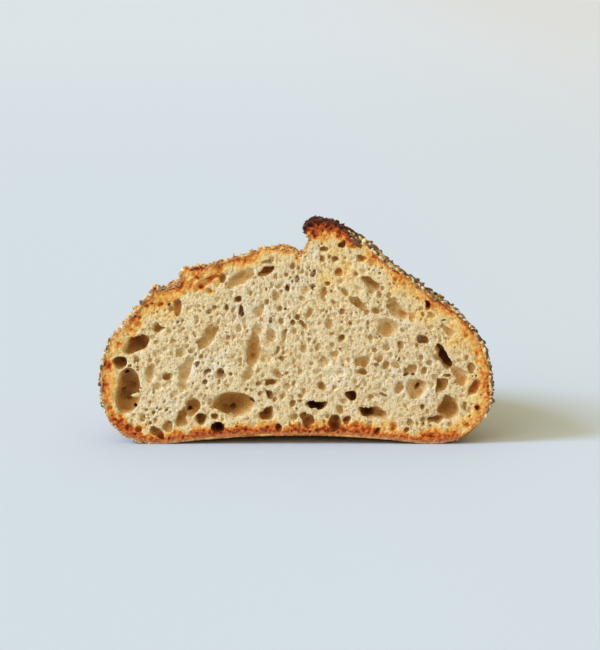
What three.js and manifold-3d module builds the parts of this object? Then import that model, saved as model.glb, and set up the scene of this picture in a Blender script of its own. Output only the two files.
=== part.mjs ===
// The cut half of a seeded spelt loaf, standing on its bottom crust.
//
// Millimetres, +Z up. X runs across the cut face, the cut face looks along -Y, and Z = 0 is
// what the loaf stands on. The origin is on that level, under the middle of the loaf.
//
// The loaf is one solid. Its crust is a loft: the edge of the cut is drawn once, and shrinks
// towards the rounded end of the loaf. A lengthwise score has opened along the top, and its
// right lip stands up as a curled ear. The large pores are hollows in the cut face, and the
// seeds are fused to the crust.

import * as THREE from 'three';
import { mergeVertices } from 'three/addons/utils/BufferGeometryUtils.js';
import { ImprovedNoise } from 'three/addons/math/ImprovedNoise.js';
import Module from 'manifold-3d';

// ---------------------------------------------------------------- driving dimensions

const HALF_WIDTH = 90; // middle of the loaf to its side, at the belly
const DEPTH = 125; // cut face to the rounded end
const BELLY_HEIGHT = 28; // the level where the loaf is widest
const DOME_HEIGHT = 88.5; // top of the plain dome
const CUT_Y = -DEPTH / 2; // the plane of the cut

// The edge of the cut, clockwise from the left foot as the cut is looked at: across, up. The
// stretch with a third number is the score: it gives where that point lies across the plain
// dome that the score runs out into.
const LEFT_FLANK = [
  [-66, 0], [-77, 3.2], [-85, 11], [-89, 20], [-90, 28], [-88, 39], [-84, 49],
  [-76.8, 58.2], [-66.5, 69.2], [-56, 75.4], [-46.4, 81.1],
];
const SCORE_AND_EAR = [
  [-30, 85.6, -30], [-15, 90.3, -17], [-7, 91.4, -8], [-1.4, 89.2, -3], [2.2, 87.8, 0.5],
  [5.3, 92.2, 3.5], [6.6, 96.2, 5.5], [3.9, 99.6, 7.5], [4.9, 103.2, 10], [9.5, 105, 14],
  [16.8, 103.2, 19], [26, 97.6, 26],
];
const RIGHT_FLANK = [
  [34.6, 90.8], [43.3, 82.8], [53.5, 75.8], [64.2, 68.6], [74.4, 60.4], [82.8, 51],
  [87.5, 41.4], [90, 28], [88.8, 17], [83, 7.5], [74, 1.8], [63, 0],
];
const BOTTOM = [[32, 0], [0, 0], [-32, 0]];

// How the section shrinks towards the end of the loaf: 1 at the cut, 0 at the end.
const NARROWING = { power: 1.9, root: 2.2 }; // its width
const LOWERING = { power: 1.5, root: 1.9 }; // the dome above the belly
const CURLING = { power: 5, root: 2 }; // the bottom below the belly
const PRESS = { share: 0.06, full: 0.2 }; // its own weight presses the bottom flat

// The bottom crust is a little hollow behind the cut.
const ARCH = { height: 4, halfWidth: 60, depth: 55 };

// The score runs out into the plain dome between these parts of the depth, and it wanders
// sideways as the blade did.
const SCORE_FADE = { from: 0.25, to: 0.95 };
const SCORE_WANDER = { side: 4, turns: 0.7 };

const CRUST_RELIEF = { height: 1, size: 9 }; // soft lumps all over the crust
const TORN_RELIEF = { height: 3, across: 6, along: 20 }; // torn streaks in the open score
const EAR_RELIEF = { height: 2.4, along: 9 }; // the broken crest of the ear
const RELIEF_HEIGHTS = { from: 1, full: 14 }; // heights above the base where it sets in

// The large pores in the cut face: across, up, length, width, and the slope of the length in
// degrees. They lean towards the middle of the dome, as the dough rose.
const PORES = [
  [-77, 25, 22, 12, 82], [-80.5, 38, 6.5, 6, 0], [-73, 46.5, 12.5, 8, 25],
  [-63, 54, 5.5, 4.5, 30], [-54.5, 64, 6, 4, 70], [-40, 49.5, 15, 5.5, 50],
  [-19, 44, 17.5, 7, 84], [-25, 77, 15, 5, 35], [-13, 81, 8, 4, 20],
  [-53, 12.5, 7.5, 5.5, 75], [-47, 17.5, 8, 6.5, 80], [-31, 18.5, 14.5, 10.5, 0],
  [-66.5, 33, 9, 5, 80], [-51, 33.5, 15.5, 4.5, 76], [-13, 14.5, 7, 6, 80],
  [-16.5, 62, 7, 4, 65], [-11, 50, 8, 3, 85],
  [34, 75, 11, 4.5, -42], [29, 65.5, 10, 4, -40], [47.5, 63, 10.5, 6, -42],
  [42, 54.5, 10, 8, 35], [69.5, 41.5, 13, 4.5, -62], [73.5, 33, 9, 4.5, -45],
  [82, 26.5, 9, 4, 72], [67.5, 27, 8, 6, 80], [70, 17.5, 9.5, 8.5, 80],
  [55.5, 26.5, 8.5, 6.5, 85], [48, 26.5, 5, 4.5, 90], [36.5, 14.5, 12.5, 5, -8],
  [26, 23, 6, 5, -20], [9, 18.5, 11, 3, 0], [17, 32.5, 10, 4, 0],
  [31, 38.5, 6.5, 4.5, -10], [18, 10, 7, 6, 60], [6, 11, 6.5, 6, 90],
  [12, 27, 5, 4.5, 90],
];
const PORE_DEPTH = 0.75; // of a pore's mean width, from the cut plane inwards
const SMALL_PORES = { count: 36, smallest: 2.2, largest: 4.2, gap: 1.6, edge: 9 };

// The seeds: long, wide, thick, and how many of each.
const LINSEED = { long: 5.6, wide: 2.9, thick: 1.7, count: 58 };
const SESAME = { long: 4, wide: 2.6, thick: 1.5, count: 34 };
const SEED_SINK = 0.25; // of a seed's thickness, below the crust
const SEED_GAP = 6.5; // least distance between two seeds
const LEFT_SHARE = 0.4; // how thinly the left flank is seeded against the right
const SEED_LIMITS = { side: 85, end: 60, low: 16 }; // the widest places have no seeds

const STEPS_BETWEEN_POINTS = 2; // facets from one point of the edge to the next
const RINGS = 20; // facets from the cut to the end

const FIRST_DRAW = 20; // seed of the random draws

// ---------------------------------------------------------------- small helpers

const { smoothstep } = THREE.MathUtils;
const noise = new ImprovedNoise();

// A number from 0 to 1, the same each run.
function randomDraws(seed) {
  let state = seed;
  return () => {
    state = (state + 0x6d2b79f5) | 0;
    let mixed = Math.imul(state ^ (state >>> 15), 1 | state);
    mixed = (mixed + Math.imul(mixed ^ (mixed >>> 7), 61 | mixed)) ^ mixed;
    return ((mixed ^ (mixed >>> 14)) >>> 0) / 4294967296;
  };
}
const draw = randomDraws(FIRST_DRAW);

const shrink = ({ power, root }, back) => Math.max(0, 1 - back ** power) ** (1 / root);

// ---------------------------------------------------------------- the crust

// 1 inside a stretch of the way round, 0 outside it, with a soft change at both ends.
function between(round, from, to, soft = 0.03) {
  return smoothstep(round, from, from + soft) * (1 - smoothstep(round, to - soft, to));
}

// Height of the plain dome at a place across it.
function plainDome(across) {
  const rise = Math.max(0, 1 - Math.abs(across / HALF_WIDTH) ** 2.4) ** (1 / 1.8);
  return BELLY_HEIGHT + (DOME_HEIGHT - BELLY_HEIGHT) * rise;
}

const edgePoints = [...LEFT_FLANK, ...SCORE_AND_EAR, ...RIGHT_FLANK, ...BOTTOM];
const toCurve = (points) => new THREE.CatmullRomCurve3(points, true, 'centripetal');
const cutEdge = toCurve(edgePoints.map(([x, z]) => new THREE.Vector3(x, 0, z)));
const plainEdge = toCurve(edgePoints.map(([x, z, plainX]) => (plainX === undefined
  ? new THREE.Vector3(x, 0, z)
  : new THREE.Vector3(plainX, 0, plainDome(plainX)))));

// Where the score starts, where its two lips meet and where the ear ends, as shares of the
// way round the edge.
const share = (pointsOfScore) => (LEFT_FLANK.length + pointsOfScore) / edgePoints.length;
const SCORE_START = share(0);
const SCORE_LIP = share(4);
const SCORE_END = share(SCORE_AND_EAR.length);

// A point of the crust: `round` goes once round the edge, `back` from the cut to the end.
function crustPoint(round, back) {
  const fade = smoothstep(back, SCORE_FADE.from, SCORE_FADE.to);
  const edge = cutEdge.getPoint(round).lerp(plainEdge.getPoint(round), fade);
  const wander = SCORE_WANDER.side * Math.sin(Math.PI * 2 * SCORE_WANDER.turns * back);
  const inScore = between(round, SCORE_START - 0.08, SCORE_END + 0.08, 0.1);
  const x = (edge.x + wander * inScore) * shrink(NARROWING, back);
  const y = CUT_Y + DEPTH * back;

  const above = edge.z - BELLY_HEIGHT;
  const press = 1 + PRESS.share * Math.min(1, back / PRESS.full);
  const shape = above > 0 ? shrink(LOWERING, back) : press * shrink(CURLING, back);
  let z = Math.max(0, BELLY_HEIGHT + above * shape);

  // The relief grows with the height above the base, so that the bottom stays flat.
  const lumpy = smoothstep(z, RELIEF_HEIGHTS.from, RELIEF_HEIGHTS.full)
    * shrink(LOWERING, back);
  const size = CRUST_RELIEF.size;
  const soft = CRUST_RELIEF.height * noise.noise(x / size, y / size, z / size);
  const open = between(round, SCORE_START, SCORE_LIP) * (1 - fade);
  const torn = open * TORN_RELIEF.height
    * noise.noise(x / TORN_RELIEF.across, y / TORN_RELIEF.along, 0.5);
  const raised = between(round, SCORE_LIP, SCORE_END) * (1 - fade);
  const broken = raised * EAR_RELIEF.height * noise.noise(y / EAR_RELIEF.along, 3.5, 0.5);
  z += (soft + torn + broken) * lumpy;

  if (edge.z < 0.5) {
    const across = Math.max(0, 1 - (x / ARCH.halfWidth) ** 2);
    const along = Math.max(0, 1 - (back * DEPTH) / ARCH.depth);
    z += ARCH.height * across * along ** 2;
  }
  return new THREE.Vector3(x, y, z);
}

// Which way the crust faces at a point.
function crustNormal(round, back) {
  const step = 0.004;
  const sideways = crustPoint(round + step, back).sub(crustPoint(round - step, back));
  const backwards = crustPoint(round, back + step).sub(crustPoint(round, back));
  return sideways.cross(backwards).normalize();
}

function crustGeometry() {
  const around = edgePoints.length * STEPS_BETWEEN_POINTS;
  const positions = [];
  for (let ring = 0; ring < RINGS; ring += 1) {
    const back = Math.sin((Math.PI / 2) * (ring / RINGS));
    for (let step = 0; step < around; step += 1) {
      positions.push(...crustPoint(step / around, back));
    }
  }
  const pole = positions.length / 3;
  positions.push(...crustPoint(0, 1));

  const faces = [];
  for (let step = 0; step < around; step += 1) {
    const next = (step + 1) % around;
    for (let ring = 0; ring < RINGS - 1; ring += 1) {
      const here = ring * around;
      const behind = here + around;
      faces.push(here + step, here + next, behind + step);
      faces.push(here + next, behind + next, behind + step);
    }
    const last = (RINGS - 1) * around;
    faces.push(last + step, last + next, pole);
  }

  // The cut face: a flat face inside the first ring.
  const contour = [];
  for (let step = 0; step < around; step += 1) {
    contour.push(new THREE.Vector2(positions[step * 3], positions[step * 3 + 2]));
  }
  THREE.ShapeUtils.triangulateShape(contour, []).forEach((face) => faces.push(...face));

  const geometry = new THREE.BufferGeometry();
  geometry.setAttribute('position', new THREE.Float32BufferAttribute(positions, 3));
  geometry.setIndex(faces);
  return geometry;
}

// ---------------------------------------------------------------- pores and seeds

// A closed lump from a unit sphere: scaled along its three axes, then turned and placed.
function lump(sphere, scale, turn, place) {
  const geometry = sphere.clone();
  geometry.applyMatrix4(new THREE.Matrix4().compose(place, turn, scale));
  return geometry;
}

function poreGeometry([across, up, length, width, slope], sphere) {
  const depth = PORE_DEPTH * Math.sqrt(length * width);
  const turn = new THREE.Quaternion().setFromAxisAngle(
    new THREE.Vector3(0, -1, 0), THREE.MathUtils.degToRad(slope));
  const scale = new THREE.Vector3(length / 2, depth, width / 2);
  return lump(sphere, scale, turn, new THREE.Vector3(across, CUT_Y, up));
}

// Small round pores between the large ones, clear of the crust.
function smallPores() {
  const found = [];
  const rim = cutEdge.getPoints(120);
  const outline = rim.map(({ x, z }) => new THREE.Vector2(x, z));
  while (found.length < SMALL_PORES.count) {
    const spread = SMALL_PORES.largest - SMALL_PORES.smallest;
    const size = SMALL_PORES.smallest + spread * draw() ** 2;
    const across = (2 * draw() - 1) * HALF_WIDTH;
    const up = draw() * DOME_HEIGHT;
    const clearOfRim = outline.every((point) => Math.hypot(
      point.x - across, point.y - up) > SMALL_PORES.edge);
    const clearOfPores = [...PORES, ...found].every(([x, z, length]) => Math.hypot(
      x - across, z - up) > (length + size) / 2 + SMALL_PORES.gap);
    const inside = insideOutline(across, up, outline);
    if (clearOfRim && clearOfPores && inside) {
      found.push([across, up, size * 1.25, size, 90 - across]);
    }
  }
  return found;
}

// Whether a place lies inside a closed outline: a line from it crosses it an odd number of times.
function insideOutline(across, up, outline) {
  let inside = false;
  outline.forEach((a, index) => {
    const b = outline[(index + 1) % outline.length];
    const spans = (a.y > up) !== (b.y > up);
    if (spans && across < a.x + ((b.x - a.x) * (up - a.y)) / (b.y - a.y)) inside = !inside;
  });
  return inside;
}

// Places for the seeds: over the dome and the end of the loaf, none in the open score, on the
// ear or low on the flanks, and fewer on the left.
function seedPlaces(count) {
  const places = [];
  const taken = [];
  while (places.length < count) {
    const round = draw();
    const back = 0.98 * draw();
    const point = crustPoint(round, back);
    const inScore = round > SCORE_START - 0.02 && round < SCORE_END && back < 0.9;
    const low = point.z < SEED_LIMITS.low;
    const widest = Math.abs(point.x) > SEED_LIMITS.side || point.y > SEED_LIMITS.end;
    const thin = draw() > shrink(NARROWING, back) * (point.x < 0 ? LEFT_SHARE : 1);
    const close = taken.some((other) => other.distanceTo(point) < SEED_GAP);
    if (inScore || low || widest || thin || close) continue;
    taken.push(point);
    places.push({ point, normal: crustNormal(round, back) });
  }
  return places;
}

function seedGeometry({ point, normal }, kind) {
  const sphere = new THREE.SphereGeometry(1, 5, 4);
  const upright = new THREE.Quaternion().setFromUnitVectors(new THREE.Vector3(0, 0, 1), normal);
  const twist = new THREE.Quaternion().setFromAxisAngle(
    new THREE.Vector3(0, 0, 1), draw() * Math.PI * 2);
  const scale = new THREE.Vector3(kind.long / 2, kind.wide / 2, kind.thick / 2);
  const sunk = point.clone().addScaledVector(normal, kind.thick * (0.5 - SEED_SINK));
  sphere.rotateX(Math.PI / 2);
  return lump(sphere, scale, upright.multiply(twist), sunk);
}

// ---------------------------------------------------------------- joining

const wasm = await Module();
wasm.setup();

function toSolid(geometry) {
  const bare = geometry.clone();
  bare.deleteAttribute('normal');
  bare.deleteAttribute('uv');
  const merged = mergeVertices(bare, 1e-4);
  return new wasm.Manifold(new wasm.Mesh({
    numProp: 3,
    vertProperties: new Float32Array(merged.attributes.position.array),
    triVerts: new Uint32Array(merged.index.array),
  }));
}

function toGeometry(solid) {
  const mesh = solid.getMesh();
  const geometry = new THREE.BufferGeometry();
  geometry.setAttribute('position', new THREE.BufferAttribute(mesh.vertProperties, 3));
  geometry.setIndex(new THREE.BufferAttribute(mesh.triVerts, 1));
  return geometry;
}

function makeLoaf() {
  let solid = toSolid(crustGeometry());

  const roundPore = new THREE.IcosahedronGeometry(1, 1);
  const plainPore = new THREE.IcosahedronGeometry(1, 0);
  PORES.forEach((pore) => {
    solid = solid.subtract(toSolid(poreGeometry(pore, roundPore)));
  });
  smallPores().forEach((pore) => {
    solid = solid.subtract(toSolid(poreGeometry(pore, plainPore)));
  });

  const kinds = [LINSEED, SESAME].flatMap((kind) => Array(kind.count).fill(kind));
  seedPlaces(kinds.length).forEach((place, index) => {
    solid = solid.add(toSolid(seedGeometry(place, kinds[index])));
  });

  // The knife went through the seeds at the edge of the cut, and a loose scrap falls off.
  const knife = new THREE.BoxGeometry(4 * HALF_WIDTH, DEPTH, 4 * HALF_WIDTH);
  knife.translate(0, CUT_Y - DEPTH / 2, 0);
  solid = solid.subtract(toSolid(knife));
  const [largest] = solid.decompose().sort((a, b) => b.volume() - a.volume());
  return toGeometry(largest);
}

// ---------------------------------------------------------------- the loaf

const crustFinish = new THREE.MeshStandardMaterial({
  color: 0xc08a4c, roughness: 0.85, metalness: 0,
});

const loaf = new THREE.Mesh(makeLoaf(), crustFinish);
loaf.name = 'loaf';

const group = new THREE.Group();
group.add(loaf);

export default group;
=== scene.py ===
"""The cut half of a seeded spelt loaf, standing on its bottom crust with the cut face forward.

The crust is a closed shell round the loaf, with a recess behind the cut. The crumb fills the
recess: it is a slab that the pores are carved out of. Seeds, flakes and crumbs lie on both.
The functions that shape the pieces count in millimetres, and the meshes are in metres.
"""

import math
from functools import partial

import bmesh
import bpy
import numpy as np
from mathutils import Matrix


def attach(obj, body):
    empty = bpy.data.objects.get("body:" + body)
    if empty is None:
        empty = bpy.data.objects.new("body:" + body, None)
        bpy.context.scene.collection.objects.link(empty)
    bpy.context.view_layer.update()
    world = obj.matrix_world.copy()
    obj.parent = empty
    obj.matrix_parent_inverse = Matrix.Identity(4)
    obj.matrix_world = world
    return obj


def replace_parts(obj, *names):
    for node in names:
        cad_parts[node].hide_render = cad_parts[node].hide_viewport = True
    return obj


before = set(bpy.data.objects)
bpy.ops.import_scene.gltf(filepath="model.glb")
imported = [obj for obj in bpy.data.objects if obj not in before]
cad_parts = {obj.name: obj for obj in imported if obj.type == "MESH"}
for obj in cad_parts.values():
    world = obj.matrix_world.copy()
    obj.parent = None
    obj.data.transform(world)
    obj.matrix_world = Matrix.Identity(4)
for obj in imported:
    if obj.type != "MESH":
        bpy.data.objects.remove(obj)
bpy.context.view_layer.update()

import openvdb
from mathutils import Vector

MM = 0.001

# ---- driving sizes of the loaf

HALF_WIDTH = 90
DEPTH = 125
BELLY_HEIGHT = 28
DOME_HEIGHT = 88.5
CUT_Y = -DEPTH / 2

# The edge of the cut, clockwise from the left foot: across and up. A point of the score also
# has the place across the plain dome that it runs out into behind the cut.
LEFT_FLANK = [
    (-66, 0), (-77, 3.2), (-85, 11), (-89, 20), (-90, 28), (-88, 39), (-84, 49),
    (-76.8, 58.2), (-66.5, 69.2), (-56, 75.4), (-46.4, 81.1),
]
SCORE_AND_EAR = [
    (-30, 85.6, -30), (-15, 90.3, -17), (-7, 91.4, -8), (-1.4, 89.2, -3), (2.2, 87.8, 0.5),
    (5.3, 92.2, 3.5), (6.6, 96.2, 5.5), (3.9, 99.6, 7.5), (4.9, 103.2, 10), (9.5, 105, 14),
    (16.8, 103.2, 19), (26, 97.6, 26),
]
RIGHT_FLANK = [
    (34.6, 90.8), (43.3, 82.8), (53.5, 75.8), (64.2, 68.6), (74.4, 60.4), (82.8, 51),
    (87.5, 41.4), (90, 28), (88.8, 17), (83, 7.5), (74, 1.8), (63, 0),
]
BOTTOM = [(32, 0), (0, 0), (-32, 0)]
EDGE = LEFT_FLANK + SCORE_AND_EAR + RIGHT_FLANK + BOTTOM
TOP = max(point[1] for point in EDGE)
HIGHEST = 106.2  # no flake or seed on the ear stands above this

DOMING = (2.4, 1.8)  # power and root of the plain dome's fall, from its middle to its sides
NARROWING = (1.9, 2.2)  # the same for the loaf's width, from the cut to the end
LOWERING = (1.5, 1.9)  # for the dome above the belly
CURLING = (5, 2)  # and for the bottom below it
PRESS_SHARE, PRESS_FULL = 0.06, 0.2  # the bottom sags by this share and lies flat on the hearth
ARCH_HEIGHT, ARCH_HALF_WIDTH, ARCH_DEPTH = 4, 60, 55  # the hollow under the cut edge
SCORE_FADE = (0.25, 0.95)  # the score and the ear fade out between these shares of the depth
WANDER_SIDE, WANDER_TURNS = 4, 0.7  # how far to the side the score wanders, and how many times
RELIEF_HEIGHTS = (1, 14)  # the relief grows between these heights


def share(points_of_score):
    """Where a point of the score lies, as a share of the way round the edge."""
    return (len(LEFT_FLANK) + points_of_score) / len(EDGE)


SCORE_START, SCORE_LIP, SCORE_END = share(0), share(4), share(len(SCORE_AND_EAR))
EAR = share(6), share(11.6)
BOTTOM_START = share(len(SCORE_AND_EAR) + len(RIGHT_FLANK) - 2)

# ---- numbers

LATTICE = np.random.default_rng(7).uniform(-1, 1, (64, 64, 64)).astype(np.float32)


def smoothstep(values, low, high):
    t = np.clip((values - low) / (high - low), 0, 1)
    return t * t * (3 - 2 * t)


def mix(a, b, t):
    return a + (b - a) * t


def lengths(vectors):
    return np.linalg.norm(vectors, axis=1, keepdims=True)


def soft_noise(x, y, z, size, layer=0):
    """Smooth noise from -1 to 1 with lumps of the given size."""
    places = [np.asarray(v, np.float32) / size + 13.7 * layer for v in (x, y, z)]
    cells = [np.floor(p).astype(np.int32) for p in places]
    fx, fy, fz = (smoothstep(p - c, 0, 1) for p, c in zip(places, cells))
    ix, iy, iz = (c & 63 for c in cells)
    jx, jy, jz = ((c + 1) & 63 for c in cells)
    low, high = (mix(mix(LATTICE[ix, iy, k], LATTICE[jx, iy, k], fx),
                     mix(LATTICE[ix, jy, k], LATTICE[jx, jy, k], fx), fy) for k in (iz, jz))
    return mix(low, high, fz)


def rough_noise(x, y, z, size, octaves, layer=0):
    """Noise with finer and finer lumps, each half as strong as the last."""
    return sum(0.5 ** k * soft_noise(x, y, z, size / 2 ** k, layer + k) for k in range(octaves))


def between(rounds, start, end, soft=0.03):
    """1 between two places on the way round the edge, with soft ends."""
    return smoothstep(rounds, start, start + soft) * (1 - smoothstep(rounds, end - soft, end))


# ---- the form of the crust

def closed_curve(points, rounds):
    """A smooth closed curve through the points, at shares of the way round it."""
    points = np.array(points, float)
    place = (np.asarray(rounds) % 1) * len(points)
    index = np.floor(place).astype(int)
    t = (place - index)[:, None]
    p0, p1, p2, p3 = (points[(index + k) % len(points)] for k in (-1, 0, 1, 2))
    d0, d1, d2 = (np.sqrt(lengths(b - a)) for a, b in ((p0, p1), (p1, p2), (p2, p3)))
    m1 = ((p1 - p0) / d0 - (p2 - p0) / (d0 + d1) + (p2 - p1) / d1) * d1
    m2 = ((p2 - p1) / d1 - (p3 - p1) / (d1 + d2) + (p3 - p2) / d2) * d1
    return (p1 + m1 * t + (3 * (p2 - p1) - 2 * m1 - m2) * t ** 2
            + (2 * (p1 - p2) + m1 + m2) * t ** 3)


def shrink(shape, out):
    """How much is left of a width or height, from 1 in the middle to 0 at the end."""
    power, root = shape
    return np.maximum(0, 1 - np.maximum(0, out) ** power) ** (1 / root)


def plain_dome(across):
    rise = shrink(DOMING, np.abs(across / HALF_WIDTH))
    return BELLY_HEIGHT + (DOME_HEIGHT - BELLY_HEIGHT) * rise


CUT_EDGE = [(p[0], p[1]) for p in EDGE]
PLAIN_EDGE = [(p[2], plain_dome(p[2])) if len(p) == 3 else p for p in EDGE]


def smooth_crust(rounds, backs):
    """Points of the crust without its relief.

    rounds goes from 0 to 1 once round the edge, and backs from 0 at the cut to 1 at the end.
    """
    fade = smoothstep(backs, *SCORE_FADE)[:, None]
    edge = mix(closed_curve(CUT_EDGE, rounds), closed_curve(PLAIN_EDGE, rounds), fade)
    wander = WANDER_SIDE * np.sin(math.tau * WANDER_TURNS * backs)
    in_score = between(rounds % 1, SCORE_START - 0.08, SCORE_END + 0.08, 0.1)
    x = (edge[:, 0] + wander * in_score) * shrink(NARROWING, backs)
    y = CUT_Y + DEPTH * backs
    above = edge[:, 1] - BELLY_HEIGHT
    press = 1 + PRESS_SHARE * np.minimum(1, backs / PRESS_FULL)
    shape = np.where(above > 0, shrink(LOWERING, backs), press * shrink(CURLING, backs))
    z = np.maximum(0, BELLY_HEIGHT + above * shape)
    arch = (np.maximum(0, 1 - (x / ARCH_HALF_WIDTH) ** 2)
            * np.maximum(0, 1 - backs * DEPTH / ARCH_DEPTH) ** 2)
    z = z + np.where(edge[:, 1] < 0.5, ARCH_HEIGHT * arch, 0)
    return np.stack([x, y, z], 1)


def score_mask(rounds, backs):
    """How much a place of the crust is the torn floor of the score."""
    return (between(rounds % 1, SCORE_START, share(6.5))
            * (1 - smoothstep(backs, *SCORE_FADE)))


def ear_mask(rounds, backs):
    """How much a place of the crust is the raised ear."""
    return (between(rounds % 1, *EAR, 0.025)
            * (1 - smoothstep(backs, *SCORE_FADE)))


# Knobs and dips of the crust at the cut: across, height and half width.
KNOBS = [(-63.6, 3.6, 1.3), (-58, -1.6, 3), (-54.5, -2.2, 2), (-49.6, 3.2, 2.2), (-45, 1.8, 2.5),
         (-38.5, -0.6, 2), (-30, 0.9, 3), (-20, 0.8, 2), (28.5, -2.6, 2.2), (33, 1, 2),
         (-84, 0.8, 3)]


def relief(rounds, backs, points):
    """How far the crust stands out from the smooth one, by its lumps, tears and flakes."""
    x, y, z = points.T
    knobs = sum(height * np.exp(-((x - across) ** 2 + ((y - CUT_Y) / 1.6) ** 2) / width ** 2)
                for across, height, width in KNOBS) * (z > BELLY_HEIGHT)
    lumpy = smoothstep(z, *RELIEF_HEIGHTS) * shrink(LOWERING, backs)
    lumps = 0.8 * soft_noise(x, y, z, 9) + 0.35 * rough_noise(x, y, z, 3.4, 2, 3)
    skin = 0.16 * rough_noise(x, y, z, 1.4, 2, 9)
    torn = 1.3 * soft_noise(x, y * 0.4, z, 5, 20) + 0.9 * rough_noise(x, y * 0.6, z, 2.2, 2, 24)
    flaky = 1.0 * rough_noise(x, y, z, 2.6, 3, 31)
    bottom = 0.12 * rough_noise(x, y, z, 2.0, 2, 40) * smoothstep(z, 0, 0.6)
    score, ear = score_mask(rounds, backs), ear_mask(rounds, backs)
    return knobs + lumpy * (lumps + skin + score * torn + ear * flaky) + bottom


def sideways(rounds, backs, step=0.002):
    """From each place a step back round the edge to the one a step on."""
    return smooth_crust(rounds + step, backs) - smooth_crust(rounds - step, backs)


def facing(rounds, backs, step=0.002):
    """The directions that the smooth crust faces, as long as the area of a step."""
    backwards = smooth_crust(rounds, backs + step) - smooth_crust(rounds, backs)
    return np.cross(sideways(rounds, backs, step), backwards)


def crust(rounds, backs):
    """Points of the finished crust and the directions that it faces."""
    points, normals = smooth_crust(rounds, backs), facing(rounds, backs)
    normals /= np.maximum(1e-9, lengths(normals))
    at_cut = (backs == 0)[:, None]
    outwards = np.where(at_cut, normals * (1, 0, 1), normals)
    points = points + outwards * relief(rounds, backs, points)[:, None]
    points[:, 2] = np.maximum(points[:, 2], 0)
    return points, normals


# ---- meshes

def add_object(name, data):
    thing = bpy.data.objects.new(name, data)
    bpy.context.scene.collection.objects.link(thing)
    return thing


def new_piece(name, mesh, material):
    piece = add_object(name, mesh)
    mesh.shade_smooth()
    mesh.materials.append(material)
    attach(piece, "root")
    return piece


def piece_from_arrays(name, points, faces, material, **values):
    """A piece from points in millimetres, with numbers at each for its material to read."""
    mesh = bpy.data.meshes.new(name)
    mesh.from_pydata((points * MM).tolist(), [], faces.tolist())
    mesh.update()
    for key, numbers in values.items():
        layer = mesh.attributes.new(key, "FLOAT", "POINT")
        layer.data.foreach_set("value", np.asarray(numbers, np.float32))
    return new_piece(name, mesh, material)


# ---- the crust's mesh

RIM = 0.9  # width of the crust's skin at the cut
RECESS = 14.5  # how far the crumb reaches back behind the cut
RECESS_STEPS = (0, 5, 10, RECESS)
COLUMNS = [(0, SCORE_START, 130), (SCORE_START, SCORE_END, 190),
           (SCORE_END, BOTTOM_START, 150), (BOTTOM_START, 1, 80)]
ROWS, NEAR_CUT = 140, 1.4  # the rows crowd towards the cut by this power
ROUNDS = np.concatenate([np.linspace(a, b, n, endpoint=False) for a, b, n in COLUMNS])
BACKS = np.sin(math.pi / 2 * np.linspace(0, 1, ROWS + 1) ** NEAR_CUT)


def inner_edge(rounds, depth, inwards):
    """The crust's section at a depth behind the cut, moved inwards in its own plane."""
    backs = np.full(len(rounds), depth / DEPTH)
    along = sideways(rounds, backs, 0.0015)
    along /= lengths(along)
    inside = np.stack([along[:, 2], np.zeros(len(rounds)), -along[:, 0]], 1)
    return crust(rounds, backs)[0] + inside * inwards


def make_crust(material):
    """A grid wrapped round the loaf, closed by the recess behind the cut."""
    rounds = np.append(ROUNDS, 1)
    bm = bmesh.new()
    bmesh.ops.create_grid(bm, x_segments=len(rounds) - 1, y_segments=ROWS, size=1)
    flat = np.array([v.co[:2] for v in bm.verts])
    column = np.rint((flat[:, 0] + 1) / 2 * (len(rounds) - 1)).astype(int)
    row = np.rint((flat[:, 1] + 1) / 2 * ROWS).astype(int)
    around, back = rounds[column], BACKS[row]
    points = crust(around, back)[0] * MM
    values = {"place": around, "score": score_mask(around, back), "ear": ear_mask(around, back)}
    layers = {name: bm.verts.layers.float.new(name) for name in values}
    for index, vert in enumerate(bm.verts):
        vert.co = points[index]
        for name, layer in layers.items():
            vert[layer] = values[name][index]
    bmesh.ops.remove_doubles(bm, verts=bm.verts, dist=1e-6)

    ring = [e for e in bm.edges if e.is_boundary]
    for depth in RECESS_STEPS:
        made = bmesh.ops.extrude_edge_only(bm, edges=ring)["geom"]
        ring = [g for g in made if isinstance(g, bmesh.types.BMEdge)]
        verts = [g for g in made if isinstance(g, bmesh.types.BMVert)]
        places = np.array([v[layers["place"]] for v in verts])
        for vert, point in zip(verts, inner_edge(places, depth, RIM) * MM):
            vert.co = point
    bmesh.ops.edgeloop_fill(bm, edges=ring)
    bmesh.ops.recalc_face_normals(bm, faces=bm.faces)
    mesh = bpy.data.meshes.new("crust")
    bm.to_mesh(mesh)
    bm.free()
    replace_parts(new_piece("crust", mesh, material), "loaf")


# ---- the crumb

# The crumb is carved in a grid of distances to its surface, because the mesh operators can't
# cut thousands of pores that run into one another.
CELL = 0.5  # of the grid
SLAB = (-1.5, RECESS - 1)  # in front of and behind the cut
FIELD_BOTTOM, FIELD_TOP, FIELD_MARGIN = -1, 107, 1.5  # the grid's heights, and its room at the sides
FIELD_LIMIT = 3.0  # distances are kept up to this
INSET = 0.5  # of the crumb inside the crust's edge
FOCUS = (0, 120)  # the small pores point at this place above the loaf
# The bubbles in the material point at a place this high, and are drawn out a little.
FLOW_FOCUS, FLOW_WIDTH, FLOW_STRETCH = 300, 250, 0.85

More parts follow.
